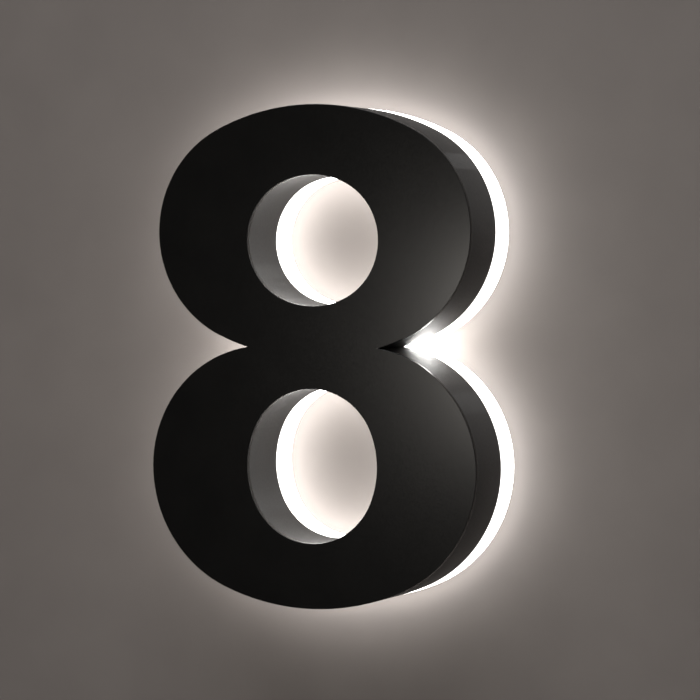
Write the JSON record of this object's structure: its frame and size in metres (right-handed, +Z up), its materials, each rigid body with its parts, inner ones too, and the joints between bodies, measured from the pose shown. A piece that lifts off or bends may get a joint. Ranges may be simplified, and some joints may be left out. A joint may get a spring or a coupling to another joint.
{
  "type": "illuminated house number",
  "caption": "Halo-lit wall numeral in the form of an eight: a black sheet-metal shell over an opal acrylic body that glows behind it.",
  "frame": {"origin": "middle of the four wall-screw holes in the back plane that lies on the wall, at half the numeral's height", "axes": "+Z up, +X to the reader's right, +Y into the wall, so the black face looks along -Y"},
  "size_m": [0.138, 0.046, 0.2],
  "materials": {
    "black_paint": "satin black powder coat",
    "opal_acrylic": "opal cast acrylic, lit from inside",
    "steel": "zinc-plated steel",
    "grommet_rubber": "matte",
    "board_white": "white solder mask on laminate",
    "led_package": "white diode package with phosphor window",
    "resistor_black": "matte ceramic chip",
    "connector_white": "moulded",
    "nylon": "natural nylon",
    "terminal_nylon": "moulded",
    "clamp_brass": "plain brass",
    "red_insulation": "smooth PVC",
    "black_insulation": "smooth PVC"
  },
  "bodies": {
    "base": {"diffuser_body": "opal_acrylic", "screw_bushes": "steel", "cable_grommet": "grommet_rubber", "upper_led_board": "board_white", "lower_led_board": "board_white", "upper_leds": "led_package", "lower_leds": "led_package", "board_resistors": "resistor_black", "board_connectors": "connector_white", "board_standoffs": "nylon", "board_screws": "steel", "terminal_block": "terminal_nylon", "terminal_clamps": "clamp_brass", "terminal_screws": "steel", "terminal_fixing_screw": "steel", "red_wires": "red_insulation", "black_wires": "black_insulation"},
    "shell": {"face_plate": "black_paint", "upper_bowl_return": "black_paint", "lower_bowl_return": "black_paint", "upper_counter_return": "black_paint", "lower_counter_return": "black_paint", "clinch_nuts": "steel", "lock_screws": "steel"}
  },
  "joints": [
    {"name": "shell_pull", "type": "slide", "parent": "base", "child": "shell", "axis": [0, -1, 0], "range_m": [0, 0.04]}
  ]
}
